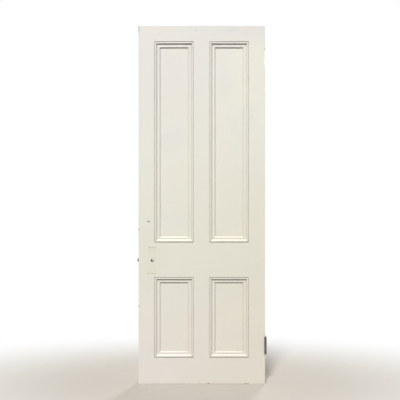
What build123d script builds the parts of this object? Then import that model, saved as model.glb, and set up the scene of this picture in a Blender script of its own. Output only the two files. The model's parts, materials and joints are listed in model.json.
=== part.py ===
from build123d import *
from math import cos, pi, radians, sin, tan
import os

# A painted four-panel softwood door, off its frame, with one butt hinge and a tubular latch.
# Millimetres. +X runs to the hanging edge, +Z up, and the front face looks along -Y.
# The origin is at the middle of the bottom edge.

# Door leaf
door_h = 2140.0
door_w = 756.0
door_t = 42.0
arris_r = 1.2

# Framing members, as seen from the front
lock_stile_w = 95.0
hanging_stile_w = 97.0
muntin_w = 95.0
top_rail_h = 94.0
lock_rail_h = 209.0
bottom_rail_h = 158.0
lower_opening_h = 479.0

# Panels, and the grooves that they float in
panel_t = 12.0
groove_d = 12.0
panel_edge_gap = 2.0
groove_fit = 0.1

# Mortice and tenon joints: tenons are as thick as the panels and share their groove
top_tenon_h = 50.0
lock_tenon_h = 52.0
bottom_tenon_h = 46.0
bottom_haunch_h = 24.0
muntin_tenon_len = 40.0
mortice_end_gap = 1.0
joint_fit = 0.1
wedge_t = 6.0
wedge_len_share = 0.7

# Planted moulding on the front, from the framing towards the panel
quirk_w = 2.0
quirk_d = 4.0
bead_w = 10.0
bead_proud = 1.0
cove_w = 8.0
fillet_w = 6.5
ovolo_w = 8.5
lip_w = 1.0
lip_h = 1.2
bead_start_share = 0.9
bead_end_share = 0.78
cove_end_share = 0.40
fillet_end_share = 0.50
cove_mid_shares = (0.38, 0.545)
ovolo_mid_shares = (0.62, 0.34)

# Plain splayed moulding on the back
splay_w = 24.0
splay_flat_w = 7.0
splay_sink = 2.0

# Tubular latch in the lock edge
latch_rise = 101.6
spindle_inset = 13.0
forend_h = 57.0
forend_w = 25.0
forend_t = 3.0
forend_fit = 0.2
case_end_gap = 0.6
case_h = 28.0
case_t = 14.0
case_wall = 1.2
case_fit = 0.5
spindle_hole_r = 8.75
tongue_h = 18.0
tongue_t = 11.0
tongue_out = 8.0
tongue_nose_w = 2.0
tongue_nose_r = 0.8
tongue_fit = 0.2
bolt_block_len = 26.0
bolt_travel = 7.8
fork_t = 2.0
fork_side_gap = 0.2
fork_hub_gap = 0.4
lug_w = 2.5
lug_low = 8.4
lug_high = 12.2
lug_gap = 0.2
hub_r = 6.95
hub_fit = 0.05
spindle_side = 8.2
arm_reach = 10.3
arm_half_w = 2.0
arm_lean = 32.0
arm_side_gap = 0.4
spring_r = 3.5
spring_wire = 1.0
spring_turn_count = 6
spring_run_count = 10
spring_stop_x = 60.0
spring_stop_h = 12.0
forend_screw_spacing = 42.0
forend_screw_len = 25.0

# Wood screws, drawn with a few flats
screw_flat_count = 8
screw_r = 2.3
screw_head_r = 4.4
screw_land_h = 0.4
screw_point_r = 0.5
screw_slot_w = 1.1
screw_slot_d = 0.9
screw_fit = 0.1

# Screw holes that a removed handle plate left round the spindle
plate_hole_r = 1.5
plate_hole_d = 13.0
plate_hole_rise = 78.0
plate_hole_step = 17.0

# Butt hinges in the hanging edge: one in place, and the empty seat of the other
hinge_h = 101.6
lower_hinge_z = 181.0
upper_hinge_z = 1899.0
leaf_t = 3.5
leaf_w = 28.0
leaf_fit = 0.1
leaf_gap = 3.0
knuckle_r = 6.75
knuckle_count = 5
knuckle_gap = 0.3
knuckle_face_gap = 0.5
pin_r = 3.5
pin_fit = 0.05
pin_proud = 1.0
hinge_row_near = 9.5
hinge_row_far = 19.5
hinge_outer_share = 0.38
hinge_inner_share = 0.14
hinge_screw_len = 32.0
pilot_r = 1.6
pilot_d = 26.0

# Damage on the front face and the lock edge
gouge_z = 970.0
gouge_in = 59.0
gouge_len = 17.0
gouge_w = 4.5
gouge_d = 1.6
gouge_tilt = 14.0
upper_chip_z = 924.0
upper_chip_len = 18.0
lower_chip_z = 466.0
lower_chip_len = 12.0
chip_d = 1.8
corner_chip_len = 44.0
corner_chip_drop = 16.0
corner_chip_d = 2.2
dent_x = -34.0
dent_drop = 27.0
dent_len = 8.0
dent_w = 4.0
dent_d = 1.0
hollow_rim_shares = ((-0.5, -0.06), (-0.16, 0.4), (0.22, 0.5), (0.5, 0.1), (0.2, -0.44), (-0.24, -0.5))
hollow_floor_share = 0.45
chip_floor_shares = ((-0.22, 1.0), (0.28, 0.7))

# How far a cut runs past the face that it opens
overrun = 5.0

# Places that follow from the sizes above
left_edge = -door_w / 2
right_edge = door_w / 2
front = -door_t / 2
back = door_t / 2
lock_shoulder = left_edge + lock_stile_w
hanging_shoulder = right_edge - hanging_stile_w
opening_w = (hanging_shoulder - lock_shoulder - muntin_w) / 2
muntin_left = lock_shoulder + opening_w
muntin_right = muntin_left + muntin_w
lower_sill = bottom_rail_h
lower_head = lower_sill + lower_opening_h
upper_sill = lower_head + lock_rail_h
upper_head = door_h - top_rail_h
latch_z = lower_head + latch_rise
groove_w = panel_t + 2 * groove_fit
recess = (door_t - panel_t) / 2
moulding_w = quirk_w + bead_w + cove_w + fillet_w + ovolo_w + lip_w
spindle_x = lock_shoulder - spindle_inset
case_front = left_edge + forend_t
case_end = lock_shoulder - case_end_gap
inner_h = case_h - 2 * case_wall
inner_y = case_t / 2 - case_wall
bolt_rear = left_edge + bolt_block_len
spring_stop = left_edge + spring_stop_x
lean = radians(arm_lean)
lug_face = spindle_x - lug_low * tan(lean) + arm_half_w / cos(lean) + lug_gap
fork_back = -inner_y + fork_side_gap + fork_t
arm_front = fork_back + arm_side_gap
arm_back = inner_y - arm_side_gap
screw_cone_h = screw_head_r - screw_r
pin_x = right_edge + leaf_gap / 2
pin_y = front - knuckle_face_gap - knuckle_r
frame_leaf_x = right_edge + leaf_gap

openings = {
    "upper_left": ((lock_shoulder, upper_sill), (muntin_left, upper_head)),
    "upper_right": ((muntin_right, upper_sill), (hanging_shoulder, upper_head)),
    "lower_left": ((lock_shoulder, lower_sill), (muntin_left, lower_head)),
    "lower_right": ((muntin_right, lower_sill), (hanging_shoulder, lower_head)),
}
tenons = {
    "top_rail": [(upper_head + groove_d, upper_head + groove_d + top_tenon_h)],
    "lock_rail": [
        (lower_head + groove_d, lower_head + groove_d + lock_tenon_h),
        (upper_sill - groove_d - lock_tenon_h, upper_sill - groove_d),
    ],
    "bottom_rail": [
        (bottom_haunch_h, bottom_haunch_h + bottom_tenon_h),
        (lower_sill - groove_d - bottom_tenon_h, lower_sill - groove_d),
    ],
}
all_tenons = [tenon for rail_tenons in tenons.values() for tenon in rail_tenons]
hinge_screw_places = [
    (front + row, side * share * hinge_h)
    for row, share in ((hinge_row_near, hinge_outer_share), (hinge_row_far, hinge_inner_share))
    for side in (-1, 1)
]

os.makedirs("parts", exist_ok=True)


def save(piece, name):
    """Label a finished piece and write it to its own file."""
    piece.part.label = name
    export_step(piece.part, f"parts/{name}.step")


def rectangle_between(low, high, mode=Mode.ADD):
    """Draw a rectangle in the active sketch from its low corner to its high corner."""
    with Locations(((low[0] + high[0]) / 2, (low[1] + high[1]) / 2)):
        Rectangle(high[0] - low[0], high[1] - low[1], mode=mode)


def block_between(low, high, mode=Mode.ADD):
    """Add or cut a square block in the active part, between two corners."""
    with Locations((Vector(low) + Vector(high)) / 2):
        Box(*(Vector(high) - Vector(low)), mode=mode)


def countersunk_screw(length, clearance):
    """A screw along -Z with its head at the origin, or with a clearance the form that cuts its way."""
    with BuildPart() as screw:
        with BuildSketch():
            RegularPolygon(screw_head_r + clearance, screw_flat_count, major_radius=False)
        extrude(amount=-screw_land_h - screw_cone_h)
        chamfer(screw.edges().group_by(Axis.Z)[0], screw_cone_h)
        with BuildSketch():
            RegularPolygon(screw_r + clearance, screw_flat_count, major_radius=False)
        extrude(amount=-length)
        chamfer(screw.edges().group_by(Axis.Z)[0], screw_r - screw_point_r)
    return screw.part


def drive_screw(screw, place, outward):
    """Add a screw at a place, with a slot across its head."""
    with Locations(Plane(place, x_dir=(0, 0, 1), z_dir=outward)):
        add(screw)
        Box(2 * screw_head_r, screw_slot_w, 2 * screw_slot_d, mode=Mode.SUBTRACT)


def cut_screw_way(way, place, outward):
    """Cut a screw's seat and shank hole at a place."""
    with Locations(Plane(place, x_dir=(0, 0, 1), z_dir=outward)):
        add(way, mode=Mode.SUBTRACT)


def torn_hollow(middle, along, length, width, depth):
    """Cut a flat-bottomed hollow with torn sides into the front face."""
    rings = []
    for share, sink in ((1, 0), (hollow_floor_share, depth)):
        with BuildSketch(Plane(middle, x_dir=along, z_dir=(0, -1, 0)).offset(-sink)) as ring:
            with BuildLine() as outline:
                Polyline(*[(share * x * length, share * y * width) for x, y in hollow_rim_shares], close=True)
            make_face(outline.edges())
        rings.append(ring.sketch)
    loft(rings, ruled=True, mode=Mode.SUBTRACT)


def arris_chip(height, length, depth):
    """Split a sliver off the front arris of the lock edge, deepest near its middle."""
    with BuildSketch(Plane((left_edge, front, height), x_dir=(0, 0, 1), z_dir=(1, -1, 0))) as sliver:
        with BuildLine() as outline:
            Polyline(
                (-length / 2, 0),
                *[(along * length, -sink * depth) for along, sink in chip_floor_shares],
                (length / 2, 0),
                (length / 2, overrun),
                (-length / 2, overrun),
                close=True,
            )
        make_face(outline.edges())
    extrude(sliver.sketch, amount=2 * overrun, both=True, mode=Mode.SUBTRACT)


def stile_blank(outer, inner):
    """Plane a stile, plough its panel groove and cut the flared mortices through its width."""
    inward = 1 if inner > outer else -1
    low_x, high_x = min(outer, inner), max(outer, inner)
    groove_floor = inner - inward * groove_d
    with BuildSketch() as section:
        rectangle_between((low_x, front), (high_x, back))
        fillet(section.vertices().sort_by(Axis.X, reverse=inward < 0)[:2], arris_r)
        rectangle_between(
            (min(groove_floor, inner), -groove_w / 2),
            (max(groove_floor, inner), groove_w / 2),
            mode=Mode.SUBTRACT,
        )
    extrude(section.sketch, amount=door_h)
    with BuildSketch(Plane.XZ) as mortices:
        for low, high in all_tenons:
            with BuildLine():
                Polyline(
                    (inner, low - joint_fit),
                    (inner, high + joint_fit),
                    (outer, high + joint_fit + wedge_t),
                    (outer, low - joint_fit - wedge_t),
                    close=True,
                )
            make_face()
    extrude(mortices.sketch, amount=groove_w / 2, both=True, mode=Mode.SUBTRACT)


def hinge_seat(bottom):
    """Let a hinge leaf into the hanging edge, open to the front face."""
    block_between(
        (right_edge - leaf_t, front - overrun, bottom - leaf_fit),
        (right_edge + overrun, front + leaf_w + leaf_fit, bottom + hinge_h + leaf_fit),
        mode=Mode.SUBTRACT,
    )


latch_screw = countersunk_screw(forend_screw_len, 0)
latch_screw_way = countersunk_screw(forend_screw_len, screw_fit)
hinge_screw = countersunk_screw(hinge_screw_len, 0)
hinge_screw_way = countersunk_screw(hinge_screw_len, screw_fit)

# Lock stile, with the latch mortice, the spindle hole and the old plate's screw holes
with BuildPart() as lock_stile:
    stile_blank(left_edge, lock_shoulder)
    block_between(
        (left_edge - overrun, -forend_w / 2 - forend_fit, latch_z - forend_h / 2 - forend_fit),
        (case_front, forend_w / 2 + forend_fit, latch_z + forend_h / 2 + forend_fit),
        mode=Mode.SUBTRACT,
    )
    block_between(
        (left_edge - overrun, -case_t / 2 - case_fit, latch_z - case_h / 2 - case_fit),
        (lock_shoulder + overrun, case_t / 2 + case_fit, latch_z + case_h / 2 + case_fit),
        mode=Mode.SUBTRACT,
    )
    with BuildSketch(Plane.XZ):
        with Locations((spindle_x, latch_z)):
            Circle(spindle_hole_r)
    extrude(amount=door_t, both=True, mode=Mode.SUBTRACT)
    with BuildSketch(Plane.XZ.offset(-front)):
        with Locations(
            (spindle_x, latch_z + plate_hole_rise),
            (spindle_x, latch_z - plate_hole_rise),
            (spindle_x - plate_hole_step, latch_z + plate_hole_rise),
        ):
            Circle(plate_hole_r)
    extrude(amount=-plate_hole_d, mode=Mode.SUBTRACT)
    for side in (-1, 1):
        screw_z = latch_z + side * forend_screw_spacing / 2
        cut_screw_way(latch_screw_way, (left_edge, 0, screw_z), (-1, 0, 0))
    gouge_along = Vector(cos(radians(gouge_tilt)), 0, sin(radians(gouge_tilt)))
    torn_hollow((left_edge + gouge_in, front, gouge_z), gouge_along, gouge_len, gouge_w, gouge_d)
    arris_chip(upper_chip_z, upper_chip_len, chip_d)
    arris_chip(lower_chip_z, lower_chip_len, chip_d)
    arris_chip(door_h - corner_chip_drop, corner_chip_len, corner_chip_d)
save(lock_stile, "lock_stile")

# Hanging stile, with the hinge in its lower seat and the upper seat empty
with BuildPart() as hanging_stile:
    stile_blank(right_edge, hanging_shoulder)
    hinge_seat(lower_hinge_z)
    hinge_seat(upper_hinge_z)
    for y, rise in hinge_screw_places:
        lower_place = (right_edge, y, lower_hinge_z + hinge_h / 2 + rise)
        cut_screw_way(hinge_screw_way, lower_place, (1, 0, 0))
        upper_place = (right_edge - leaf_t, y, upper_hinge_z + hinge_h / 2 + rise)
        with Locations(Plane(upper_place, z_dir=(1, 0, 0))):
            Hole(pilot_r, pilot_d)
save(hanging_stile, "hanging_stile")


def rail_blank(name, low, high, grooved_low, grooved_high, lock_haunch=True):
    """Plane a rail, plough it, and leave its tenons and haunches, or none where the latch stands."""
    with BuildSketch(Plane.YZ.offset(lock_shoulder)) as section:
        rectangle_between((front, low), (back, high))
        if grooved_low:
            rectangle_between((-groove_w / 2, low), (groove_w / 2, low + groove_d), mode=Mode.SUBTRACT)
        if grooved_high:
            rectangle_between((-groove_w / 2, high - groove_d), (groove_w / 2, high), mode=Mode.SUBTRACT)
    extrude(section.sketch, amount=hanging_shoulder - lock_shoulder)
    haunch = groove_d - joint_fit
    haunch_low = low + groove_d if grooved_low else low
    haunch_high = high - groove_d if grooved_high else high
    with BuildSketch(Plane.XZ) as joints:
        rectangle_between((hanging_shoulder, haunch_low), (hanging_shoulder + haunch, haunch_high))
        if lock_haunch:
            rectangle_between((lock_shoulder - haunch, haunch_low), (lock_shoulder, haunch_high))
        for tenon_low, tenon_high in tenons[name]:
            rectangle_between((left_edge, tenon_low), (lock_shoulder, tenon_high))
            rectangle_between((hanging_shoulder, tenon_low), (right_edge, tenon_high))
    extrude(joints.sketch, amount=panel_t / 2, both=True)


def muntin_mortice(edge_z, inward):
    """Cut the blind mortice for a muntin's tenon into a rail's grooved edge."""
    floor_z = edge_z + inward * (muntin_tenon_len + mortice_end_gap)
    block_between(
        (muntin_left + groove_d - joint_fit, -groove_w / 2, min(edge_z, floor_z)),
        (muntin_right - groove_d + joint_fit, groove_w / 2, max(edge_z, floor_z)),
        mode=Mode.SUBTRACT,
    )


# Three rails
with BuildPart() as top_rail:
    rail_blank("top_rail", upper_head, door_h, True, False)
    muntin_mortice(upper_head, 1)
    torn_hollow((dent_x, front, door_h - dent_drop), Vector(1, 0, 0), dent_len, dent_w, dent_d)
save(top_rail, "top_rail")

with BuildPart() as lock_rail:
    rail_blank("lock_rail", lower_head, upper_sill, True, True, lock_haunch=False)
    muntin_mortice(lower_head, 1)
    muntin_mortice(upper_sill, -1)
    with BuildSketch(Plane.XZ.offset(-front)):
        for side in (-1, 1):
            with Locations((spindle_x + plate_hole_step, latch_z + side * plate_hole_rise)):
                Circle(plate_hole_r)
    extrude(amount=-plate_hole_d, mode=Mode.SUBTRACT)
save(lock_rail, "lock_rail")

with BuildPart() as bottom_rail:
    rail_blank("bottom_rail", 0, lower_sill, False, True)
    muntin_mortice(lower_sill, -1)
save(bottom_rail, "bottom_rail")

# Two muntins, grooved on both edges, with a stub tenon on each end
for name, sill, head in (
    ("upper_muntin", upper_sill, upper_head),
    ("lower_muntin", lower_sill, lower_head),
):
    with BuildPart() as muntin:
        with BuildSketch(Plane.XY.offset(sill)):
            rectangle_between((muntin_left, front), (muntin_right, back))
            for groove_low in (muntin_left, muntin_right - groove_d):
                rectangle_between(
                    (groove_low, -groove_w / 2), (groove_low + groove_d, groove_w / 2), mode=Mode.SUBTRACT
                )
        extrude(amount=head - sill)
        with BuildSketch(Plane.XZ):
            rectangle_between(
                (muntin_left + groove_d, sill - muntin_tenon_len),
                (muntin_right - groove_d, head + muntin_tenon_len),
            )
        extrude(amount=panel_t / 2, both=True)
    save(muntin, name)

# Four flat panels, loose in their grooves
panel_entry = groove_d - panel_edge_gap
for name, (low, high) in openings.items():
    with BuildPart() as panel:
        with BuildSketch(Plane.XZ):
            rectangle_between(
                (low[0] - panel_entry, low[1] - panel_entry), (high[0] + panel_entry, high[1] + panel_entry)
            )
        extrude(amount=panel_t / 2, both=True)
    save(panel, f"{name}_panel")

# Wedges that spread each through tenon, seen as end grain on both edges of the door
with BuildPart() as tenon_wedges:
    for outer, inner in ((left_edge, lock_shoulder), (right_edge, hanging_shoulder)):
        tip_x = outer + wedge_len_share * (inner - outer)
        tip_t = wedge_t * (1 - wedge_len_share)
        with BuildSketch(Plane.XZ):
            for tenon_low, tenon_high in all_tenons:
                for seat, rise in ((tenon_high + joint_fit, 1), (tenon_low - joint_fit, -1)):
                    with BuildLine():
                        Polyline(
                            (outer, seat),
                            (outer, seat + rise * wedge_t),
                            (tip_x, seat + rise * tip_t),
                            (tip_x, seat),
                            close=True,
                        )
                    make_face()
        extrude(amount=panel_t / 2, both=True)
save(tenon_wedges, "tenon_wedges")


def front_moulding():
    """Draw the front section: quirk, bead, cove, fillet, ovolo and lip, with its back on the panel."""
    bead_start = quirk_w
    cove_start = bead_start + bead_w
    fillet_start = cove_start + cove_w
    ovolo_start = fillet_start + fillet_w
    lip_start = ovolo_start + ovolo_w
    quirk_h = recess - quirk_d
    cove_mid = cove_start + cove_mid_shares[0] * cove_w
    ovolo_mid = ovolo_start + ovolo_mid_shares[0] * ovolo_w
    with BuildLine() as outline:
        Polyline(
            (lip_start, lip_h),
            (moulding_w, lip_h),
            (moulding_w, 0),
            (0, 0),
            (0, quirk_h),
            (quirk_w, quirk_h),
            (quirk_w, bead_start_share * recess),
        )
        ThreePointArc(
            (bead_start, bead_start_share * recess),
            (bead_start + bead_w / 2, recess + bead_proud),
            (cove_start, bead_end_share * recess),
        )
        ThreePointArc(
            (cove_start, bead_end_share * recess),
            (cove_mid, cove_mid_shares[1] * recess),
            (fillet_start, cove_end_share * recess),
        )
        Line((fillet_start, cove_end_share * recess), (ovolo_start, fillet_end_share * recess))
        ThreePointArc(
            (ovolo_start, fillet_end_share * recess),
            (ovolo_mid, ovolo_mid_shares[1] * recess),
            (lip_start, lip_h),
        )
    make_face(outline.edges())


def back_moulding():
    """Draw the back section: a flat and a splay down to the panel."""
    with BuildLine() as outline:
        Polyline(
            (0, 0),
            (0, recess - splay_sink),
            (splay_flat_w, recess - splay_sink),
            (splay_w, lip_h),
            (splay_w, 0),
            close=True,
        )
    make_face(outline.edges())


# Planted mouldings: four mitred strips round each panel, on both faces of the door
for opening, ((low_x, low_z), (high_x, high_z)) in openings.items():
    strips = {
        "bottom": ((low_x, low_z), (high_x, low_z), Vector(0, 0, 1)),
        "right": ((high_x, low_z), (high_x, high_z), Vector(-1, 0, 0)),
        "top": ((high_x, high_z), (low_x, high_z), Vector(0, 0, -1)),
        "left": ((low_x, high_z), (low_x, low_z), Vector(1, 0, 0)),
    }
    for face, outward, draw_section in (
        ("front", Vector(0, -1, 0), front_moulding),
        ("back", Vector(0, 1, 0), back_moulding),
    ):
        panel_y = outward.Y * panel_t / 2
        for side, (start, end, inward) in strips.items():
            along = inward.cross(outward)
            if face == "back":
                start, end = end, start
            start_corner = Vector(start[0], panel_y, start[1])
            end_corner = Vector(end[0], panel_y, end[1])
            with BuildPart() as strip:
                with BuildSketch(Plane(start_corner, x_dir=inward, z_dir=along)):
                    draw_section()
                extrude(amount=(end_corner - start_corner).length)
                split(bisect_by=Plane(start_corner, z_dir=along - inward), keep=Keep.TOP)
                split(bisect_by=Plane(end_corner, z_dir=-along - inward), keep=Keep.TOP)
            save(strip, f"{opening}_{face}_moulding_{side}")

# Latch forend, let in flush with the lock edge
with BuildPart() as latch_forend:
    block_between(
        (left_edge, -forend_w / 2, latch_z - forend_h / 2),
        (case_front, forend_w / 2, latch_z + forend_h / 2),
    )
    block_between(
        (left_edge - overrun, -tongue_t / 2 - tongue_fit, latch_z - tongue_h / 2 - tongue_fit),
        (case_front + overrun, tongue_t / 2 + tongue_fit, latch_z + tongue_h / 2 + tongue_fit),
        mode=Mode.SUBTRACT,
    )
    for side in (-1, 1):
        screw_z = latch_z + side * forend_screw_spacing / 2
        cut_screw_way(latch_screw_way, (left_edge, 0, screw_z), (-1, 0, 0))
save(latch_forend, "latch_forend")

with BuildPart() as latch_screws:
    for side in (-1, 1):
        screw_z = latch_z + side * forend_screw_spacing / 2
        drive_screw(latch_screw, (left_edge, 0, screw_z), (-1, 0, 0))
save(latch_screws, "latch_forend_screws")

# Latch case: a folded channel behind the forend, and the cover that closes its open side
with BuildPart() as latch_case:
    block_between(
        (case_front, -case_t / 2, latch_z - case_h / 2), (case_end, inner_y, latch_z + case_h / 2)
    )
    block_between(
        (case_front - overrun, -inner_y, latch_z - inner_h / 2),
        (case_end - case_wall, inner_y + overrun, latch_z + inner_h / 2),
        mode=Mode.SUBTRACT,
    )
    with BuildSketch(Plane.XZ):
        with Locations((spindle_x, latch_z)):
            Circle(hub_r + hub_fit)
    extrude(amount=case_t, both=True, mode=Mode.SUBTRACT)
save(latch_case, "latch_case")

with BuildPart() as latch_cover:
    block_between((case_front, inner_y, latch_z - case_h / 2), (case_end, case_t / 2, latch_z + case_h / 2))
    block_between(
        (spring_stop, arm_front, latch_z - spring_stop_h / 2),
        (spring_stop + case_wall, inner_y, latch_z + spring_stop_h / 2),
    )
    with BuildSketch(Plane.XZ):
        with Locations((spindle_x, latch_z)):
            Circle(hub_r + hub_fit)
    extrude(amount=case_t, both=True, mode=Mode.SUBTRACT)
save(latch_cover, "latch_cover")

# Latch bolt: bevelled tongue, block and a fork that straddles the follower
with BuildPart() as latch_bolt:
    with BuildSketch(Plane.XY.offset(latch_z - tongue_h / 2)) as tongue:
        with BuildLine():
            Polyline(
                (bolt_rear, -tongue_t / 2),
                (left_edge - tongue_out, -tongue_t / 2),
                (left_edge - tongue_out, -tongue_t / 2 + tongue_nose_w),
                (left_edge, tongue_t / 2),
                (bolt_rear, tongue_t / 2),
                close=True,
            )
        make_face()
        fillet(tongue.vertices().group_by(Axis.X)[0], tongue_nose_r)
    extrude(amount=tongue_h)
    with BuildSketch(Plane.XZ.offset(-fork_back)):
        rectangle_between((bolt_rear, latch_z - lug_high), (lug_face + lug_w, latch_z + lug_high))
        rectangle_between(
            (spindle_x - hub_r - fork_hub_gap - bolt_travel, latch_z - lug_low),
            (lug_face + lug_w, latch_z + lug_low),
            mode=Mode.SUBTRACT,
        )
    extrude(amount=fork_t)
    block_between(
        (bolt_rear - fork_t, fork_back - fork_t, latch_z - tongue_h / 2),
        (bolt_rear, fork_back, latch_z + tongue_h / 2),
    )
    for side in (-1, 1):
        block_between(
            (lug_face, fork_back - fork_t, latch_z + min(side * lug_low, side * lug_high)),
            (lug_face + lug_w, inner_y - fork_side_gap, latch_z + max(side * lug_low, side * lug_high)),
        )
save(latch_bolt, "latch_bolt")

# Follower: a hub with a square socket for the spindle, and two arms that lean back from the lugs
with BuildPart() as latch_follower:
    with BuildSketch(Plane.XZ):
        with Locations((spindle_x, latch_z)):
            Circle(hub_r)
    extrude(amount=case_t / 2, both=True)
    with BuildSketch(Plane.XZ.offset(-(arm_front + arm_back) / 2)):
        for side in (-1, 1):
            middle = (spindle_x - sin(lean) * arm_reach / 2, latch_z + side * cos(lean) * arm_reach / 2)
            with Locations(middle):
                SlotCenterToCenter(arm_reach, 2 * arm_half_w, rotation=side * (90 + arm_lean))
    extrude(amount=(arm_back - arm_front) / 2, both=True)
    with BuildSketch(Plane.XZ):
        with Locations((spindle_x, latch_z)):
            Rectangle(spindle_side, spindle_side)
    extrude(amount=case_t, both=True, mode=Mode.SUBTRACT)
save(latch_follower, "latch_follower")

# Spring that drives the tongue out, between the bolt and the cover's stop, wound in short straight runs
spring_y = (arm_front + inner_y) / 2
spring_start = bolt_rear + spring_wire
spring_len = spring_stop - spring_wire - spring_start
coil_points = []
for number in range(spring_turn_count * spring_run_count + 1):
    turn = 2 * pi * number / spring_run_count
    coil_x = spring_start + spring_len * number / (spring_turn_count * spring_run_count)
    coil_points.append((coil_x, spring_y + spring_r * cos(turn), latch_z + spring_r * sin(turn)))
with BuildPart() as latch_spring:
    with BuildLine() as coil:
        Polyline(*coil_points)
    with BuildSketch(Plane(coil.line @ 0, z_dir=coil.line % 0)):
        Rectangle(spring_wire, spring_wire)
    sweep(transition=Transition.RIGHT)
save(latch_spring, "latch_spring")


def hinge_leaf(plate_x, own_knuckles, face_x, face_out):
    """Cast one leaf with its share of the knuckles, bored for the pin and countersunk for its screws."""
    hinge_top = lower_hinge_z + hinge_h
    knuckle_h = (hinge_h - (knuckle_count - 1) * knuckle_gap) / knuckle_count
    block_between((plate_x, front, lower_hinge_z), (plate_x + leaf_t, front + leaf_w, hinge_top))
    for number in own_knuckles:
        knuckle_z = lower_hinge_z + number * (knuckle_h + knuckle_gap)
        block_between((plate_x, pin_y, knuckle_z), (plate_x + leaf_t, front, knuckle_z + knuckle_h))
        with BuildSketch(Plane.XY.offset(knuckle_z)) as knuckle:
            with Locations((pin_x, pin_y)):
                Circle(knuckle_r)
        extrude(knuckle.sketch, amount=knuckle_h)
    with BuildSketch(Plane.XY.offset(lower_hinge_z)) as bore:
        with Locations((pin_x, pin_y)):
            Circle(pin_r + pin_fit)
    extrude(bore.sketch, amount=hinge_h, mode=Mode.SUBTRACT)
    for y, rise in hinge_screw_places:
        cut_screw_way(hinge_screw_way, (face_x, y, lower_hinge_z + hinge_h / 2 + rise), face_out)


# Lower butt hinge, folded shut
with BuildPart() as hinge_door_leaf:
    hinge_leaf(right_edge - leaf_t, range(1, knuckle_count, 2), right_edge, (1, 0, 0))
save(hinge_door_leaf, "hinge_door_leaf")

with BuildPart() as hinge_frame_leaf:
    hinge_leaf(frame_leaf_x, range(0, knuckle_count, 2), frame_leaf_x, (-1, 0, 0))
save(hinge_frame_leaf, "hinge_frame_leaf")

with BuildPart() as hinge_pin:
    with BuildSketch(Plane.XY.offset(lower_hinge_z - pin_proud)):
        with Locations((pin_x, pin_y)):
            Circle(pin_r)
    extrude(amount=hinge_h + 2 * pin_proud)
save(hinge_pin, "hinge_pin")

with BuildPart() as hinge_screws:
    for y, rise in hinge_screw_places:
        drive_screw(hinge_screw, (right_edge, y, lower_hinge_z + hinge_h / 2 + rise), (1, 0, 0))
save(hinge_screws, "hinge_screws")
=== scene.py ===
import json
from collections import namedtuple
from math import cos, pi, radians, sin

import bmesh
import bpy
from mathutils import Color, Matrix, Vector


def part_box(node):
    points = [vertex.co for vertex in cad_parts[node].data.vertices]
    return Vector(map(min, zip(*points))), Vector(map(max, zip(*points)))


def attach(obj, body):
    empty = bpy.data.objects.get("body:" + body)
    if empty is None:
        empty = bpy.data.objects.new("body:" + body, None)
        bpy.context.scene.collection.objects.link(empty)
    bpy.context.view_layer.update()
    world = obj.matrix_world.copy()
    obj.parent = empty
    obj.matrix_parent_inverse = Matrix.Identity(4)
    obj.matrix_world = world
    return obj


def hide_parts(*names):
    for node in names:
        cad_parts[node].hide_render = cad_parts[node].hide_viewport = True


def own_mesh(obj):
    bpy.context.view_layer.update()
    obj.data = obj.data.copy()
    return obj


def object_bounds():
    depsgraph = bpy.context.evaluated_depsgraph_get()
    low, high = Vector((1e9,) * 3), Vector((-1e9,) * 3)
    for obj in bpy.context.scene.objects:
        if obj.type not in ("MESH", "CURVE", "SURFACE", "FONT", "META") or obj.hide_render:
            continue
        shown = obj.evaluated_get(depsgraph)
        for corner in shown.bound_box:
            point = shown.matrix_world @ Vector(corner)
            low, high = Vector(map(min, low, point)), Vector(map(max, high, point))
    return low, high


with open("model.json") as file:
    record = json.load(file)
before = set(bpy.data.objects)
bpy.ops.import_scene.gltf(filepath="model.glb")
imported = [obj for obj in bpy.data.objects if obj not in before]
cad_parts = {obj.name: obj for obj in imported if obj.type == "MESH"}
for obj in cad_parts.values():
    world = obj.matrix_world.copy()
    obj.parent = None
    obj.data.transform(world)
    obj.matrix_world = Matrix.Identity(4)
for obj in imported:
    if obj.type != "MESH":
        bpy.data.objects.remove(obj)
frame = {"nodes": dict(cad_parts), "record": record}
cad_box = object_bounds()

# Places read from the frame, in metres: +X to the hanging edge, -Y out of the front face, +Z up
mounts = {mount["name"]: Vector(mount["pos_m"]) for mount in frame["record"]["mounts"]}
lock_low, lock_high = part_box("lock_stile")
hanging_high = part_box("hanging_stile")[1]
left_edge = lock_low.x
right_edge = hanging_high.x
front = lock_low.y
back = hanging_high.y
door_foot = cad_box[0].z
door_top = lock_high.z
spindle = mounts["spindle_socket"]
upper_seat = mounts["upper_hinge_seat"]
hinge_h = 0.1016
skin = 0.0003

# Units of the record's sizes and of a picture's colours
mm_per_m = 1000
full_level = 255

# Traces of the removed handle: the ghost of its plate, screw holes, a filled hole, and touched paint
plate_half = Vector((0.024, 0.1, 0.072))
plate_soft = 0.004
plate_sink = 0.0002
plate_rise = 0.078
plate_step = 0.017
plate_hole_r = 0.0015
plate_rim_r = 0.0032
plate_rim_depth = 0.002
filled_reach = (0.02, 0.004, 0.006)
spindle_hole_r = 0.00875
hole_margin = 1.15
hand_reach = (0.11, 0.06, 0.2)

# Damage: the gouge beside the upper panel, chips by place and size, a dark spot at the hinge seat's top
# corner, a dent and smears
gouge_in = 0.059
gouge_z = 0.97
gouge_reach = (0.0085, 0.003, 0.0032)
corner_chip_drop = 0.016
arris_chips = ((0.924, 0.018), (0.466, 0.012), (door_top - corner_chip_drop, 0.044))
arris_chip_r = 0.0045
arris_chip_share = 0.6
bottom_chips = ((0.039, 0.006), (0.258, 0.005), (0.275, 0.004))
bottom_chip_r = 0.005
seat_spot_reach = (0.005, 0.01, 0.006)
dent_x = -0.034
dent_drop = 0.027
dent_reach = (0.005, 0.003, 0.008)
smear_from = 0.06
smear_to = 0.015
smear_soft = 0.012
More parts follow.
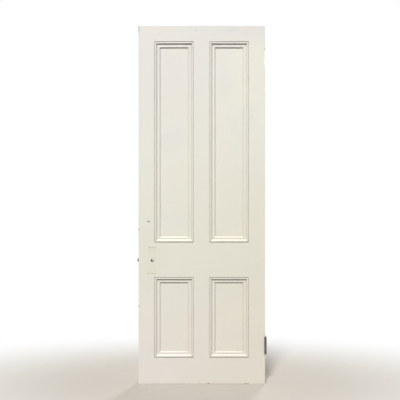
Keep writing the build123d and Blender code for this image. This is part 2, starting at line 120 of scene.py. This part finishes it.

# Paint: rounded edges, laps on bare ends, the line of painted shade under the rail above the panels, kicks,
# and the painted light of the paler upper right part
paint_edge_r = 0.0007
end_lap = 0.004
end_soft = 0.0025
head_shade_h = 0.0018
kick_h = 0.03
lit_patch_from_x = -0.1
lit_patch_rise = (1.15, 1.7)
lit_patch_fall = (2.1, 1.98)

# Directions, as the stretch of a noise: brush marks, wood grain, wiping marks and the scratches of sliding
brushed_upright = (1, 1, 40)
brushed_level = (40, 1, 1)
upright_grain = (1, 1, 20)
level_grain = (20, 1, 1)
end_grain = (1, 1, 1)
wiped_level = (9, 1, 1)
scratched_level = (30, 1, 1)

# Coil spring behind the bolt
wire_r = 0.0005
wire_bevel_steps = 2
spring_turns = 6
steps_per_turn = 24

# Slotted wood screws
head_r = 0.0047
head_rim = 0.0003
head_land = 0.0004
head_h = 0.003
shank_r = 0.0023
point_len = 0.008
screw_slot = Vector((0.0009, 0.0012, 0.02))
slot_turn = radians(68)
screw_steps = 32
weld_gap = 1e-6
sharp_angle = radians(30)

# Camera of the photograph: its place, and a focal length of 500 pixels in a frame of 400
camera_place = (-0.0108, -3.009, 1.0996)
camera_tilt = radians(90)
camera_lens = 45.0
sensor_width = 36.0

# Studio: a large soft lamp high in front, a weaker one high behind, and soft light, more of it from above
sky_strength = 0.46
ground_strength = 0.09
sky_rise = 0.5
key_place = Vector((-3.4, -13.0, 15.8))
key_size = 4.0
key_power = 3720.0
back_place = Vector((7.0, 16.0, 6.5))
back_size = 5.0
back_power = 1900.0
lamp_target = Vector((0.0, 0.0, 1.1))

# Floor: an oval that turns white towards its rim
floor_drop = 0.0005
floor_half = Vector((2.6, 1.6))
floor_reach = Vector((2.4, 1.1))
floor_plain_share = 0.25
floor_gloss = 0.1
floor_steps = 96


def srgb(red, green, blue):
    """A colour as a picture shows it, from 0 to 255, as the linear values that a shader takes."""
    shown = Color((red / full_level, green / full_level, blue / full_level))
    return (*shown.from_srgb_to_scene_linear(), 1.0)


paint_bottom = srgb(234, 226, 218)
paint_low = srgb(230, 228, 216)
paint_middle = srgb(232, 230, 216)
paint_upper = srgb(235, 233, 221)
paint_top = srgb(229, 225, 220)
paint_cool = srgb(228, 227, 220)
paint_warm = srgb(235, 230, 215)
paint_yellowed = srgb(222, 216, 193)
# Painted light: the paler tone of the brighter upper right
painted_light_tone = srgb(241, 240, 222)
old_paint = srgb(214, 202, 166)
# Dirt, also used as painted shade in creases, grooves and on slopes
dirt_and_shade = srgb(132, 116, 92)
scuff = srgb(168, 154, 134)
smear = srgb(206, 204, 200)
# Dark dirt, also used as painted shade in the heads' grooves, in holes and in metal corners
dark_dirt_and_shade = srgb(70, 62, 54)
bare_wood = srgb(168, 138, 104)
dark_wood = srgb(104, 80, 58)
pale_wood = srgb(214, 192, 166)
old_wood = srgb(146, 128, 108)
filler = srgb(218, 196, 172)
iron = srgb(112, 108, 103)
iron_rust = srgb(98, 82, 68)
steel = srgb(98, 96, 91)
tarnish = srgb(84, 76, 66)
screw_metal = srgb(120, 115, 108)
# Dark grease, also painted shade on the follower deep in its hole
dark_grease_and_shade = srgb(58, 52, 46)
floor_colour = srgb(150, 147, 142)
floor_seen = srgb(186, 181, 172)
floor_dust = srgb(198, 190, 177)
white = (1.0, 1.0, 1.0, 1.0)

# Tones of the paint between the door's foot and its top, by the share of its height
height_tones = ((0.09, paint_bottom), (0.26, paint_low), (0.4, paint_middle), (0.62, paint_upper))

# Kinds of painted pieces: brush marks, the shares of dirt and painted shade in creases and in grooves, the
# grooves' tone, and the direction and share of painted shade on inward slopes
kind_fields = "brushed crease_dirt groove_dirt groove_tone inward slope_dirt"
PaintKind = namedtuple("PaintKind", kind_fields, defaults=(dirt_and_shade, None, 0.0))
up = (0, 0, 1)
down = (0, 0, -1)
to_right = (1, 0, 0)
to_left = (-1, 0, 0)
# The inward slopes and the heads' grooves carry painted shade, set kind by kind; on the sills it is dust and
# painted shade that tones down their highlight
paint_kinds = {
    "upright": PaintKind(brushed_upright, crease_dirt=0.25, groove_dirt=0.4),
    "left": PaintKind(brushed_upright, crease_dirt=0.25, groove_dirt=0.4, inward=to_right, slope_dirt=0.05),
    "right": PaintKind(brushed_upright, crease_dirt=0.1, groove_dirt=0.0, inward=to_left, slope_dirt=0.14),
    "level": PaintKind(brushed_level, crease_dirt=0.45, groove_dirt=0.9),
    "sill": PaintKind(brushed_level, crease_dirt=0.45, groove_dirt=0.9, inward=up, slope_dirt=0.13),
    # Heads: their grooves in the dark tone, painted shade of the quirk under the rail
    "head": PaintKind(brushed_level, crease_dirt=0.95, groove_dirt=1.0, groove_tone=dark_dirt_and_shade),
}
# Lower heads: painted shade on their downward slopes as well
paint_kinds["low_head"] = paint_kinds["head"]._replace(inward=down, slope_dirt=0.28)
kind_by_ending = {"wedges": "level", "top": "head", "bottom": "sill", "left": "left", "right": "right"}


class Surface:
    """A node material built up in layers, from its ground colour to the wear on top."""

    number_sockets = (2, 3, 0)
    colour_sockets = (6, 7, 2)
    bevel_samples = 4
    shelter_samples = 8
    edge_levels = (0.995, 0.8)
    spot_levels = (1.1, 0.8)
    ragged_detail = 3.0
    noise_middle = 0.5

    def __init__(self, name, colour, roughness, metallic=0.0):
        self.material = bpy.data.materials.new(name)
        self.material.use_nodes = True
        self.tree = self.material.node_tree
        self.shader = self.tree.nodes["Principled BSDF"]
        self.shader.inputs["Metallic"].default_value = metallic
        place = self.node("ShaderNodeTexCoord").outputs
        self.place = place["Object"]
        self.facing = place["Normal"]
        self.colour = colour
        self.roughness = roughness
        self.height = None

    def node(self, kind, inputs=None, **settings):
        """Add a node with its settings, and feed its inputs with numbers or other nodes' outputs."""
        node = self.tree.nodes.new(kind)
        for name, value in settings.items():
            setattr(node, name, value)
        for name, value in (inputs or {}).items():
            self.feed(node.inputs[name], value)
        return node

    def feed(self, socket, value):
        """Link an output to a socket, or set the socket's own value."""
        if isinstance(value, bpy.types.NodeSocket):
            self.tree.links.new(value, socket)
        else:
            socket.default_value = value

    def math(self, operation, first, second=0.0):
        return self.node("ShaderNodeMath", {0: first, 1: second}, operation=operation).outputs[0]

    def vector(self, operation, first, second=(0, 0, 0), output="Vector"):
        return self.node("ShaderNodeVectorMath", {0: first, 1: second}, operation=operation).outputs[output]

    def both(self, first, second):
        """1 where two masks are both 1."""
        return self.math("MULTIPLY", first, second)

    def mix(self, factor, first, second):
        """Blend two colours, or two numbers, by a factor."""
        is_number = isinstance(second, float)
        node = self.node("ShaderNodeMix", {0: factor}, data_type="FLOAT" if is_number else "RGBA")
        first_index, second_index, output_index = self.number_sockets if is_number else self.colour_sockets
        self.feed(node.inputs[first_index], first)
        self.feed(node.inputs[second_index], second)
        return node.outputs[output_index]

    def fade(self, value, start, end):
        """0 at start, 1 at end, smooth between them."""
        inputs = {"Value": value, "From Min": start, "From Max": end}
        return self.node("ShaderNodeMapRange", inputs, interpolation_type="SMOOTHSTEP").outputs["Result"]

    def noise(self, size, detail=2.0, stretch=(1, 1, 1)):
        """Noise with features of about the given size in metres, drawn out by the stretch."""
        scale = tuple(1 / (size * share) for share in stretch)
        inputs = {"Vector": self.vector("MULTIPLY", self.place, scale), "Scale": 1.0, "Detail": detail}
        return self.node("ShaderNodeTexNoise", inputs).outputs["Fac"]

    def patches(self, size, levels, detail=2.0, stretch=(1, 1, 1)):
        """Patches of noise: 0 where it is at the first level, and 1 at the second."""
        return self.fade(self.noise(size, detail, stretch), *levels)

    def spot(self, centre, radii, ragged=0.0, size=0.004):
        """1 inside an ellipsoid and 0 outside, with an edge that noise makes ragged."""
        offset = self.vector("SUBTRACT", self.place, tuple(centre))
        reach = self.vector("LENGTH", self.vector("DIVIDE", offset, tuple(radii)), output="Value")
        if ragged:
            wander = self.math("SUBTRACT", self.noise(size, self.ragged_detail), self.noise_middle)
            reach = self.math("ADD", reach, self.math("MULTIPLY", wander, ragged))
        return self.fade(reach, *self.spot_levels)

    def block(self, low, high, soft=0.0004):
        """1 inside a box and 0 outside it."""
        middle = (Vector(low) + Vector(high)) / 2
        half = (Vector(high) - Vector(low)) / 2
        offset = self.vector("ABSOLUTE", self.vector("SUBTRACT", self.place, tuple(middle)))
        past = self.node("ShaderNodeSeparateXYZ", {0: self.vector("SUBTRACT", offset, tuple(half))}).outputs
        furthest = self.math("MAXIMUM", self.math("MAXIMUM", past[0], past[1]), past[2])
        return self.fade(furthest, soft, -soft)

    def slopes(self, direction, levels):
        """1 where the object's own surface leans towards a direction, by the cosine of the angle."""
        return self.fade(self.vector("DOT_PRODUCT", self.facing, direction, output="Value"), *levels)

    def lay(self, mask, colour, share=None, roughness=None):
        """Lay a share of a colour, and of a roughness if there is one, over what is there."""
        if share is not None:
            mask = self.math("MULTIPLY", mask, share)
        self.colour = self.mix(mask, self.colour, colour)
        if roughness is not None:
            self.roughness = self.mix(mask, self.roughness, roughness)

    def lift(self, mask, height):
        """Raise the surface's relief by a height in metres where the mask is 1."""
        step = self.math("MULTIPLY", mask, height)
        self.height = step if self.height is None else self.math("ADD", self.height, step)

    def soft_edges(self, radius):
        """The surface's normal with its sharp edges rounded off."""
        return self.node("ShaderNodeBevel", {"Radius": radius}, samples=self.bevel_samples).outputs["Normal"]

    def edges(self, radius):
        """1 along the object's sharp edges."""
        true_normal = self.node("ShaderNodeNewGeometry").outputs["True Normal"]
        turn = self.vector("DOT_PRODUCT", self.soft_edges(radius), true_normal, output="Value")
        return self.fade(turn, *self.edge_levels)

    def corners(self, distance, levels=(0.75, 0.25)):
        """Corners, where dirt and painted shade go: 0 where the open share is the first level, and 1 at the
        second.
        """
        inputs = {"Distance": distance}
        shelter = self.node("ShaderNodeAmbientOcclusion", inputs, samples=self.shelter_samples).outputs["AO"]
        return self.fade(shelter, *levels)

    def finish(self, edge_radius):
        """Link the layers to the shader and return the material."""
        self.feed(self.shader.inputs["Base Color"], self.colour)
        self.feed(self.shader.inputs["Roughness"], self.roughness)
        normal = self.soft_edges(edge_radius)
        if self.height is not None:
            relief = {"Height": self.height, "Distance": 1.0, "Strength": 1.0, "Normal": normal}
            normal = self.node("ShaderNodeBump", relief).outputs["Normal"]
        self.feed(self.shader.inputs["Normal"], normal)
        return self.material


def oil_paint(name, kind_name):
    """Old off-white oil paint in tones that change up the door, with brush marks, dirt and painted shade in
    creases and on slopes, painted light on the upper right, and rubbed edges.
    """
    kind = paint_kinds[kind_name]
    paint = Surface(name, paint_middle, roughness=0.34)
    across, _, height = paint.node("ShaderNodeSeparateXYZ", {0: paint.place}).outputs
    tones = paint.node("ShaderNodeValToRGB", {"Fac": paint.math("DIVIDE", height, door_top)})
    ramp = tones.color_ramp.elements
    ramp[0].color = paint_bottom
    ramp[1].color = paint_top
    for share, tone in height_tones:
        ramp.new(share).color = tone
    paint.colour = tones.outputs["Color"]

    lower_right = paint.both(paint.fade(across, left_edge, right_edge), paint.fade(height, door_top, 0.0))
    paint.lay(lower_right, paint_yellowed, share=0.4)
    # Painted light: a paler patch on the upper right, where more light falls
    lit_patch_band = paint.both(paint.fade(height, *lit_patch_rise), paint.fade(height, *lit_patch_fall))
    lit_patch = paint.both(paint.fade(across, lit_patch_from_x, right_edge), lit_patch_band)
    paint.lay(lit_patch, painted_light_tone, share=0.6)
    blotch = paint.noise(size=0.35, detail=3.0)
    paint.lay(paint.fade(blotch, start=0.45, end=0.75), paint_warm, share=0.5)
    paint.lay(paint.fade(blotch, start=0.5, end=0.28), paint_cool, share=0.5)

    streak = paint.noise(size=0.0045, detail=3.0, stretch=kind.brushed)
    paint.lay(paint.fade(streak, start=0.52, end=0.75), paint_warm, share=0.35)
    paint.lift(streak, height=0.0003)
    paint.lift(paint.noise(size=0.0018, stretch=kind.brushed), height=0.00012)
    paint.lift(paint.noise(size=0.03), height=0.0006)
    rough_streak = 0.5
    paint.roughness = paint.mix(streak, paint.roughness, rough_streak)

    # Painted shade on the slopes that lean a kind's way; on the sills it is dust and painted shade
    if kind.inward:
        paint.lay(paint.slopes(kind.inward, levels=(0.2, 0.55)), dirt_and_shade, share=kind.slope_dirt)
    # Darker creases and grooves: dirt and painted shade
    creases = paint.corners(distance=0.004, levels=(0.95, 0.6))
    creases = paint.both(creases, paint.patches(size=0.06, levels=(0.0, 0.7)))
    paint.lay(creases, dirt_and_shade, share=kind.crease_dirt)
    grooves = paint.both(paint.corners(distance=0.008), paint.patches(size=0.03, levels=(0.0, 0.6)))
    paint.lay(grooves, kind.groove_tone, share=kind.groove_dirt, roughness=0.7)
    rubbed = paint.both(paint.edges(radius=0.002), paint.patches(size=0.02, levels=(0.52, 0.68), detail=4.0))
    paint.lay(rubbed, old_paint, share=0.5, roughness=0.6)
    kicks = paint.patches(size=0.012, levels=(0.55, 0.72), detail=4.0)
    kicks = paint.both(paint.fade(height, start=kick_h, end=0.0), kicks)
    paint.lay(kicks, scuff, share=0.3, roughness=0.6)
    return paint


def wood_in(paint, mask, light, dark, grain_stretch=upright_grain):
    """Show bare softwood where the mask is 1, with grain between a light and a dark tone."""
    grain = paint.patches(size=0.0015, levels=(0.3, 0.7), detail=3.0, stretch=grain_stretch)
    paint.lay(mask, paint.mix(grain, dark, light), roughness=0.85)


def bare_ends(paint, grain_stretch):
    """Leave the door's top and bottom edges unpainted, apart from ragged laps of paint along their sides."""
    lap = Vector((0.0, end_lap, 0.0))
    for level in (door_foot, door_top):
        low = Vector((left_edge, front, level - skin)) + lap
        high = Vector((right_edge, back, level + skin)) - lap
        ragged = paint.patches(size=0.02, levels=(0.25, 0.4), detail=4.0)
        bare = paint.both(paint.block(low, high, end_soft), ragged)
        wood_in(paint, bare, old_wood, dark_wood, grain_stretch)


def add_hole(paint, place, radius, rim_r=0.0):
    """Show dark bare wood inside a hole drilled from the front, darkened as painted shade, and dirt on a rim
    round it if it has one.
    """
    if rim_r:
        rim = paint.spot((place.x, front, place.z), (rim_r, plate_rim_depth, rim_r), ragged=0.4)
        paint.lay(rim, dirt_and_shade, share=0.8)
    inside = Vector((radius * hole_margin, (back - front) / 2 - 3 * skin, radius * hole_margin))
    middle = Vector((place.x, (front + back) / 2, place.z))
    # Dark bare wood and painted shade inside the hole
    wood_in(paint, paint.block(middle - inside, middle + inside), dark_wood, dark_dirt_and_shade)


def add_handle_marks(paint):
    """Yellow the paint a little where hands touched it, and more where the handle's plate covered it."""
    paint.lay(paint.spot(spindle, hand_reach, ragged=0.8, size=0.05), old_paint, share=0.06)
    ghost = paint.block(spindle - plate_half, spindle + plate_half, plate_soft)
    paint.lay(ghost, old_paint, share=0.09, roughness=0.3)
    paint.lift(ghost, height=-plate_sink)


def add_head_shade_lines(paint, row, share):
    """Lay a thin dark line of painted shade under the rail's arris above the two panels of a row."""
    for side in ("left", "right"):
        low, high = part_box(f"{row}_{side}_front_moulding_top")
        line_low = Vector((low.x, front - skin, high.z - skin))
        line_high = Vector((high.x, front + head_shade_h, high.z + head_shade_h))
        # Painted shade: a dark line under the rail's arris
        paint.lay(paint.block(line_low, line_high), dirt_and_shade, share=share)


def lock_stile_paint():
    """Paint of the lock stile, with the removed handle's traces, the gouge and the chipped arris."""
    paint = oil_paint("paint_lock_stile", "upright")
    bare_ends(paint, end_grain)
    add_handle_marks(paint)
    filled = Vector((spindle.x - plate_step, front, spindle.z - plate_rise))
    stain = paint.spot(filled, filled_reach, ragged=0.9, size=0.008)
    paint.lay(stain, filler, share=0.5, roughness=0.7)
    add_hole(paint, spindle, spindle_hole_r)
    for side_step, rise in ((0.0, plate_rise), (0.0, -plate_rise), (-plate_step, plate_rise)):
        add_hole(paint, spindle + Vector((side_step, 0.0, rise)), plate_hole_r, plate_rim_r)

    gouge = paint.spot((left_edge + gouge_in, front, gouge_z), gouge_reach, ragged=0.5, size=0.003)
    wood_in(paint, gouge, dark_wood, dark_dirt_and_shade, level_grain)
    for chip_z, chip_len in arris_chips:
        chip_reach = (arris_chip_r, arris_chip_r, chip_len * arris_chip_share)
        paint.lay(paint.spot((left_edge, front, chip_z), chip_reach, ragged=0.5), dirt_and_shade, roughness=0.85)
    return paint.finish(paint_edge_r)


def hanging_stile_paint():
    """Paint of the hanging stile, with the bare seat that the missing upper hinge left."""
    paint = oil_paint("paint_hanging_stile", "upright")
    bare_ends(paint, end_grain)
    low = Vector((upper_seat.x - skin, front + skin, upper_seat.z - hinge_h / 2))
    high = Vector((right_edge, back - skin, upper_seat.z + hinge_h / 2))
    wood_in(paint, paint.block(low, high, skin), pale_wood, bare_wood)
    # A dark spot at the top corner of the seat
    seat_top_spot = paint.spot((right_edge, front, high.z), seat_spot_reach, ragged=0.5)
    paint.lay(seat_top_spot, dirt_and_shade, share=0.6, roughness=0.8)
    return paint.finish(paint_edge_r)


def lock_rail_paint():
    """Paint of the lock rail, with two of the removed plate's screw holes."""
    paint = oil_paint("paint_lock_rail", "level")
    # A line of painted shade under the rail above the lower panels
    add_head_shade_lines(paint, "lower", share=0.45)
    add_handle_marks(paint)
    for rise in (plate_rise, -plate_rise):
        add_hole(paint, spindle + Vector((plate_step, 0.0, rise)), plate_hole_r, plate_rim_r)
    return paint.finish(paint_edge_r)


def top_rail_paint():
    """Paint of the top rail, with a small dent and faint grey smears above the panels."""
    paint = oil_paint("paint_top_rail", "level")
    # A line of painted shade under the rail above the upper panels
    add_head_shade_lines(paint, "upper", share=0.7)
    bare_ends(paint, level_grain)
    low = (left_edge, front - skin, door_top - smear_from)
    high = (right_edge, front + skin, door_top - smear_to)
    wipes = paint.patches(size=0.012, levels=(0.5, 0.7), detail=4.0, stretch=wiped_level)
    paint.lay(paint.both(paint.block(low, high, smear_soft), wipes), smear, share=0.4)
    dent = paint.spot((dent_x, front, door_top - dent_drop), dent_reach, ragged=0.6)
    paint.lay(dent, dirt_and_shade, share=0.2, roughness=0.7)
    return paint.finish(paint_edge_r)


def bottom_rail_paint():
    """Paint of the bottom rail, bare underneath and chipped along its lower arris."""
    paint = oil_paint("paint_bottom_rail", "level")
    bare_ends(paint, level_grain)
    for chip_x, chip_half in bottom_chips:
        chip_reach = (chip_half, bottom_chip_r, bottom_chip_r)
        paint.lay(paint.spot((chip_x, front, door_foot), chip_reach, ragged=0.6), dirt_and_shade, roughness=0.85)
    return paint.finish(paint_edge_r)


def hinge_iron():
    """Dull cast iron, a little rusty, with old paint left in its joints."""
    metal = Surface("worn_cast_iron", iron, roughness=0.55, metallic=0.55)
    metal.lay(metal.patches(size=0.012, levels=(0.5, 0.7), detail=4.0), iron_rust, roughness=0.75)
    # Darker corners: dirt and painted shade
    metal.lay(metal.corners(distance=0.004), dark_dirt_and_shade, share=0.5, roughness=0.8)
    metal.lay(metal.patches(size=0.02, levels=(0.62, 0.68), detail=4.0), old_paint, share=0.8, roughness=0.5)
    metal.lift(metal.noise(size=0.0015, detail=3.0), height=0.00008)
    return metal.finish(edge_radius=0.0005)


def latch_steel():
    """Dulled, tarnished steel with fine scratches along the bolt's travel."""
    metal = Surface("dulled_latch_steel", steel, roughness=0.45, metallic=0.6)
    metal.lay(metal.patches(size=0.01, levels=(0.42, 0.7), detail=4.0), tarnish, roughness=0.6)
    # Darker corners: dirt and painted shade
    metal.lay(metal.corners(distance=0.003), dark_dirt_and_shade, share=0.6, roughness=0.8)
    metal.lift(metal.noise(size=0.0006, stretch=scratched_level), height=0.00003)
    return metal.finish(edge_radius=0.0004)


def greased_and_shaded_steel():
    """Nearly black steel of the follower: old grease, and painted shade deep in its hole."""
    metal = Surface("greased_and_shaded_steel", dark_grease_and_shade, roughness=0.55, metallic=0.3)
    metal.lay(metal.patches(size=0.006, levels=(0.5, 0.7), detail=4.0), dark_dirt_and_shade, roughness=0.75)
    metal.lift(metal.noise(size=0.0008), height=0.00004)
    return metal.finish(edge_radius=0.0004)


def screw_steel():
    """Darkened steel of old slotted screws."""
    metal = Surface("old_screw_steel", screw_metal, roughness=0.45, metallic=0.85)
    metal.lay(metal.patches(size=0.004, levels=(0.45, 0.7), detail=4.0), iron_rust, roughness=0.7)
    # Darker corners and slot: dirt and painted shade
    metal.lay(metal.corners(distance=0.0015), dark_dirt_and_shade, share=0.8, roughness=0.9)
    metal.lift(metal.noise(size=0.0008), height=0.00004)
    return metal.finish(edge_radius=0.0003)


def dress(nodes):
    """Give every CAD node its own finish: by its name, by its metal, or by its kind of painted piece."""
    by_node = {
        "lock_stile": lock_stile_paint(),
        "hanging_stile": hanging_stile_paint(),
        "lock_rail": lock_rail_paint(),
        "top_rail": top_rail_paint(),
        "bottom_rail": bottom_rail_paint(),
        "latch_follower": greased_and_shaded_steel(),
    }
    by_slot = {"hinge_iron": hinge_iron(), "latch_steel": latch_steel(), "screw_steel": screw_steel()}
    by_kind = {kind: oil_paint("paint_" + kind, kind).finish(paint_edge_r) for kind in paint_kinds}
    slots = {part["node"]: part["material_slot"] for part in frame["record"]["subparts"]}
    for name, node in nodes.items():
        kind = kind_by_ending.get(name.split("_")[-1], "upright")
        if kind == "head" and name.startswith("lower"):
            kind = "low_head"
        finish = by_node.get(name) or by_slot.get(slots[name]) or by_kind[kind]
        for material_slot in node.material_slots:
            material_slot.material = finish


def wind_spring():
    """The spring behind the bolt, in round wire."""
    low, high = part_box("latch_spring")
    middle = (low + high) / 2
    coil_r = (high.y - low.y) / 2 - wire_r
    coil_len = high.x - low.x - 2 * wire_r
    curve = bpy.data.curves.new("latch_spring_wire", "CURVE")
    curve.dimensions = "3D"
    curve.bevel_depth = wire_r
    curve.bevel_resolution = wire_bevel_steps
    curve.use_fill_caps = True
    coil = curve.splines.new("POLY")
    step_count = spring_turns * steps_per_turn
    coil.points.add(step_count)
    for number, point in enumerate(coil.points):
        turn = 2 * pi * number / steps_per_turn
        along = low.x + wire_r + coil_len * number / step_count
        point.co = (along, middle.y + coil_r * cos(turn), middle.z + coil_r * sin(turn), 1.0)
    mesh = bpy.data.meshes.new_from_object(bpy.data.objects.new("latch_spring_wire", curve))
    mesh.shade_smooth()
    spring = bpy.data.objects.new("latch_spring_coil", mesh)
    bpy.context.scene.collection.objects.link(spring)
    mesh.materials.append(bpy.data.materials["dulled_latch_steel"])
    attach(spring, "door")
    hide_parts("latch_spring")

    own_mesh(spring)


def slotted_screw(length):
    """Mesh of a countersunk screw with a slot across its head, from its face at the origin along +X."""
    outline = (
        (0.0, 0.0),
        (0.0, head_r - head_rim),
        (head_rim, head_r),
        (head_land + head_rim, head_r),
        (head_h, shank_r),
        (length - point_len, shank_r),
        (length, 0.0),
    )
    turned = bmesh.new()
    points = [turned.verts.new((depth, radius, 0.0)) for depth, radius in outline]
    lines = [turned.edges.new(ends) for ends in zip(points, points[1:])]
    bmesh.ops.spin(
        turned, geom=points + lines, axis=to_right, angle=2 * pi, steps=screw_steps, use_merge=True
    )
    bmesh.ops.remove_doubles(turned, verts=turned.verts, dist=weld_gap)
    bmesh.ops.recalc_face_normals(turned, faces=turned.faces)
    groove = bmesh.new()
    bmesh.ops.create_cube(groove, size=1.0, matrix=Matrix.Diagonal((*(screw_slot * 2), 1.0)))

    made = []
    for name, shape in (("screw_blank", turned), ("screw_slot", groove)):
        mesh = bpy.data.meshes.new(name)
        shape.to_mesh(mesh)
        shape.free()
        made.append(bpy.data.objects.new(name, mesh))
        bpy.context.scene.collection.objects.link(made[-1])
    blank, cutter = made
    cut = blank.modifiers.new("slot", "BOOLEAN")
    cut.object = cutter
    screw = bpy.data.meshes.new_from_object(blank.evaluated_get(bpy.context.evaluated_depsgraph_get()))
    for piece in made:
        bpy.data.objects.remove(piece)
    return screw


def drive_screws(node, places, inward):
    """Lay round slotted screws in place of a node's own, with their faces at the places, along +X or -X."""
    low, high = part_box(node)
    screw = slotted_screw(high.x - low.x)
    facing = Matrix.Rotation(0.0 if inward > 0 else pi, 4, "Z")
    row = bmesh.new()
    for number, place in enumerate(places):
        turned = screw.copy()
        turned.transform(Matrix.Translation(place) @ facing @ Matrix.Rotation(slot_turn * number, 4, "X"))
        row.from_mesh(turned)
    mesh = bpy.data.meshes.new(node)
    row.to_mesh(mesh)
    row.free()
    mesh.shade_smooth()
    mesh.set_sharp_from_angle(angle=sharp_angle)
    mesh.materials.append(bpy.data.materials["old_screw_steel"])
    screws = bpy.data.objects.new("slotted_" + node, mesh)
    bpy.context.scene.collection.objects.link(screws)
    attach(screws, "door")
    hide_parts(node)


def drive_all_screws():
    """The two screws of the latch's forend, and the four of the hinge's door leaf."""
    low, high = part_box("latch_forend_screws")
    half_w = (high.y - low.y) / 2
    forend_places = [Vector((low.x, 0.0, z)) for z in (low.z + half_w, high.z - half_w)]
    drive_screws("latch_forend_screws", forend_places, inward=1)

    face_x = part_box("hinge_screws")[1].x
    leaf_low, leaf_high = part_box("hinge_door_leaf")
    leaf_middle = (leaf_low.z + leaf_high.z) / 2
    hinge_places = []
    for mount in frame["record"]["mounts"]:
        if mount["name"].startswith("upper_hinge_pilots"):
            half_spacing = mount["dims"]["spacing_y_mm"] / mm_per_m / 2
            for rise in (-half_spacing, half_spacing):
                hinge_places.append(Vector((face_x, mount["pos_m"][1], leaf_middle + rise)))
    drive_screws("hinge_screws", hinge_places, inward=-1)


def lay_floor():
    """A plain pale floor that takes the door's shadow and fades to white round it."""
    mesh = bpy.data.meshes.new("floor")
    outline = bmesh.new()
    bmesh.ops.create_circle(outline, cap_ends=True, segments=floor_steps, radius=1.0)
    bmesh.ops.scale(outline, vec=(floor_half.x, floor_half.y, 1.0), verts=outline.verts)
    outline.to_mesh(mesh)
    outline.free()
    floor = bpy.data.objects.new("floor", mesh)
    floor.location.z = door_foot - floor_drop
    bpy.context.scene.collection.objects.link(floor)

    surface = Surface("pale_floor", floor_colour, roughness=0.9)
    surface.shader.inputs["Specular IOR Level"].default_value = floor_gloss
    rays = surface.node("ShaderNodeLightPath").outputs
    seen = surface.math("MAXIMUM", rays["Is Camera Ray"], rays["Is Glossy Ray"])
    dust_share = 0.2
    dust = surface.math("MULTIPLY", surface.noise(size=0.05, detail=3.0), dust_share)
    surface.lay(seen, surface.mix(dust, floor_seen, floor_dust))
    material = surface.finish(edge_radius=0.0005)
    spread = surface.vector("DIVIDE", surface.place, (floor_reach.x, floor_reach.y, 1.0))
    distance = surface.vector("LENGTH", spread, output="Value")
    whiteness = surface.both(surface.fade(distance, floor_plain_share, 1.0), seen)
    glow = surface.node("ShaderNodeEmission", {"Color": white, "Strength": 1.0})
    shaders = {0: whiteness, 1: surface.shader.outputs[0], 2: glow.outputs[0]}
    blend = surface.node("ShaderNodeMixShader", shaders)
    surface.feed(surface.tree.nodes["Material Output"].inputs["Surface"], blend.outputs[0])
    mesh.materials.append(material)


def add_lamp(name, place, size, power):
    """A round soft lamp that faces the object."""
    lamp = bpy.data.lights.new(name, "AREA")
    lamp.shape = "DISK"
    lamp.size = size
    lamp.energy = power
    stand = bpy.data.objects.new(name, lamp)
    stand.location = place
    stand.rotation_euler = (lamp_target - place).to_track_quat("-Z", "Y").to_euler()
    bpy.context.scene.collection.objects.link(stand)


def light_studio():
    """Soft light from all round, white behind the object, and two lamps."""
    world = bpy.data.worlds.new("studio")
    bpy.context.scene.world = world
    world.use_nodes = True
    nodes = world.node_tree.nodes
    links = world.node_tree.links
    rays = nodes.new("ShaderNodeLightPath").outputs
    shown = rays["Is Camera Ray"]
    for kind in ("Is Glossy Ray", "Is Transmission Ray"):
        either = nodes.new("ShaderNodeMath")
        either.operation = "MAXIMUM"
        links.new(shown, either.inputs[0])
        links.new(rays[kind], either.inputs[1])
        shown = either.outputs[0]
    direction = nodes.new("ShaderNodeSeparateXYZ")
    links.new(nodes.new("ShaderNodeTexCoord").outputs["Generated"], direction.inputs[0])
    soft_light = nodes.new("ShaderNodeMapRange")
    soft_light.inputs["From Min"].default_value = -sky_rise
    soft_light.inputs["From Max"].default_value = sky_rise
    soft_light.inputs["To Min"].default_value = ground_strength
    soft_light.inputs["To Max"].default_value = sky_strength
    links.new(direction.outputs["Z"], soft_light.inputs["Value"])
    strength = nodes.new("ShaderNodeMix")
    strength.inputs["B"].default_value = 1.0
    links.new(shown, strength.inputs["Factor"])
    links.new(soft_light.outputs["Result"], strength.inputs["A"])
    background = nodes["Background"]
    background.inputs["Color"].default_value = white
    links.new(strength.outputs["Result"], background.inputs["Strength"])

    add_lamp("key", key_place, key_size, key_power)
    add_lamp("back", back_place, back_size, back_power)


def set_camera():
    """The photograph's level camera, square to the door."""
    data = bpy.data.cameras.new("photo_camera")
    data.lens = camera_lens
    data.sensor_width = sensor_width
    camera = bpy.data.objects.new("photo_camera", data)
    camera.location = camera_place
    camera.rotation_euler = (camera_tilt, 0.0, 0.0)
    bpy.context.scene.collection.objects.link(camera)
    bpy.context.scene.camera = camera


dress(frame["nodes"])
wind_spring()
drive_all_screws()
lay_floor()
light_studio()
set_camera()
bpy.context.scene.view_settings.view_transform = "Standard"
